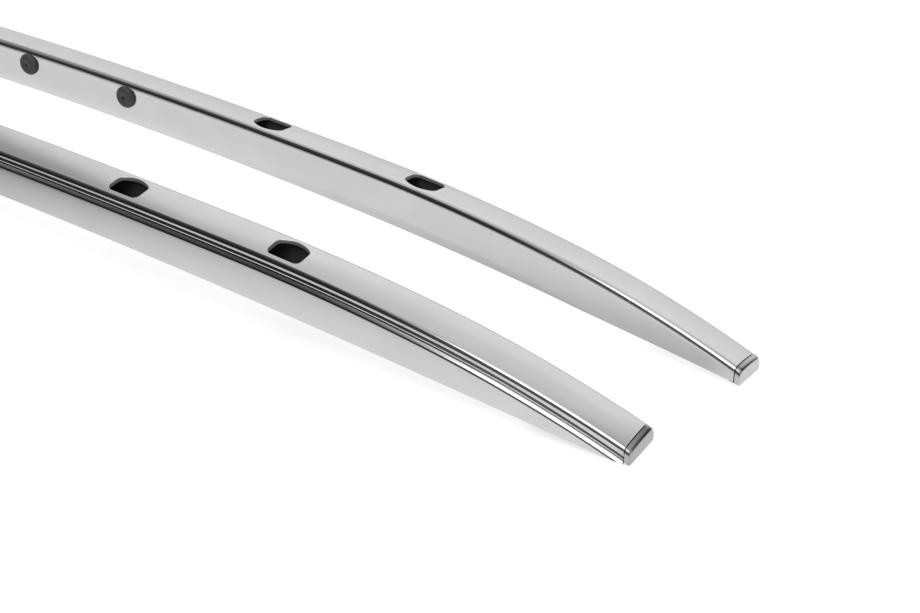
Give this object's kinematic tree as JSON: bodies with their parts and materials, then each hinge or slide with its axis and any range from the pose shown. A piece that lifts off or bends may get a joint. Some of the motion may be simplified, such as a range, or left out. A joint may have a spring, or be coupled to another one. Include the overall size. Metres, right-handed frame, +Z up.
{
  "type": "roof side rail pair",
  "caption": "Pair of bowed roof side rails with a closed box section, a grooved outer side, access holes in the top, side buffers and low end caps.",
  "frame": {"origin": "centre of the pair's footprint, at the level of the lowest points of the end caps", "axes": "+X along the rails towards the front ends, +Y towards the left rail, +Z up"},
  "size_m": [1.854, 0.2262, 0.1026],
  "materials": {
    "rail_metal": "satin anodised",
    "cap_moulding": "silver paint with a satin clear coat",
    "buffer_rubber": "matt moulded",
    "spacer_plastic": "fine grain"
  },
  "bodies": {
    "root": {"rail_left": "rail_metal", "left_end_cap_front": "cap_moulding", "left_end_cap_rear": "cap_moulding", "left_side_buffer_1": "buffer_rubber", "left_side_buffer_2": "buffer_rubber", "left_side_buffer_3": "buffer_rubber", "left_side_buffer_4": "buffer_rubber", "left_roof_spacer_1": "spacer_plastic", "left_roof_spacer_2": "spacer_plastic", "left_roof_spacer_3": "spacer_plastic", "left_roof_spacer_4": "spacer_plastic", "rail_right": "rail_metal", "right_end_cap_front": "cap_moulding", "right_end_cap_rear": "cap_moulding", "right_side_buffer_1": "buffer_rubber", "right_side_buffer_2": "buffer_rubber", "right_side_buffer_3": "buffer_rubber", "right_side_buffer_4": "buffer_rubber", "right_roof_spacer_1": "spacer_plastic", "right_roof_spacer_2": "spacer_plastic", "right_roof_spacer_3": "spacer_plastic", "right_roof_spacer_4": "spacer_plastic"}
  },
  "joints": []
}
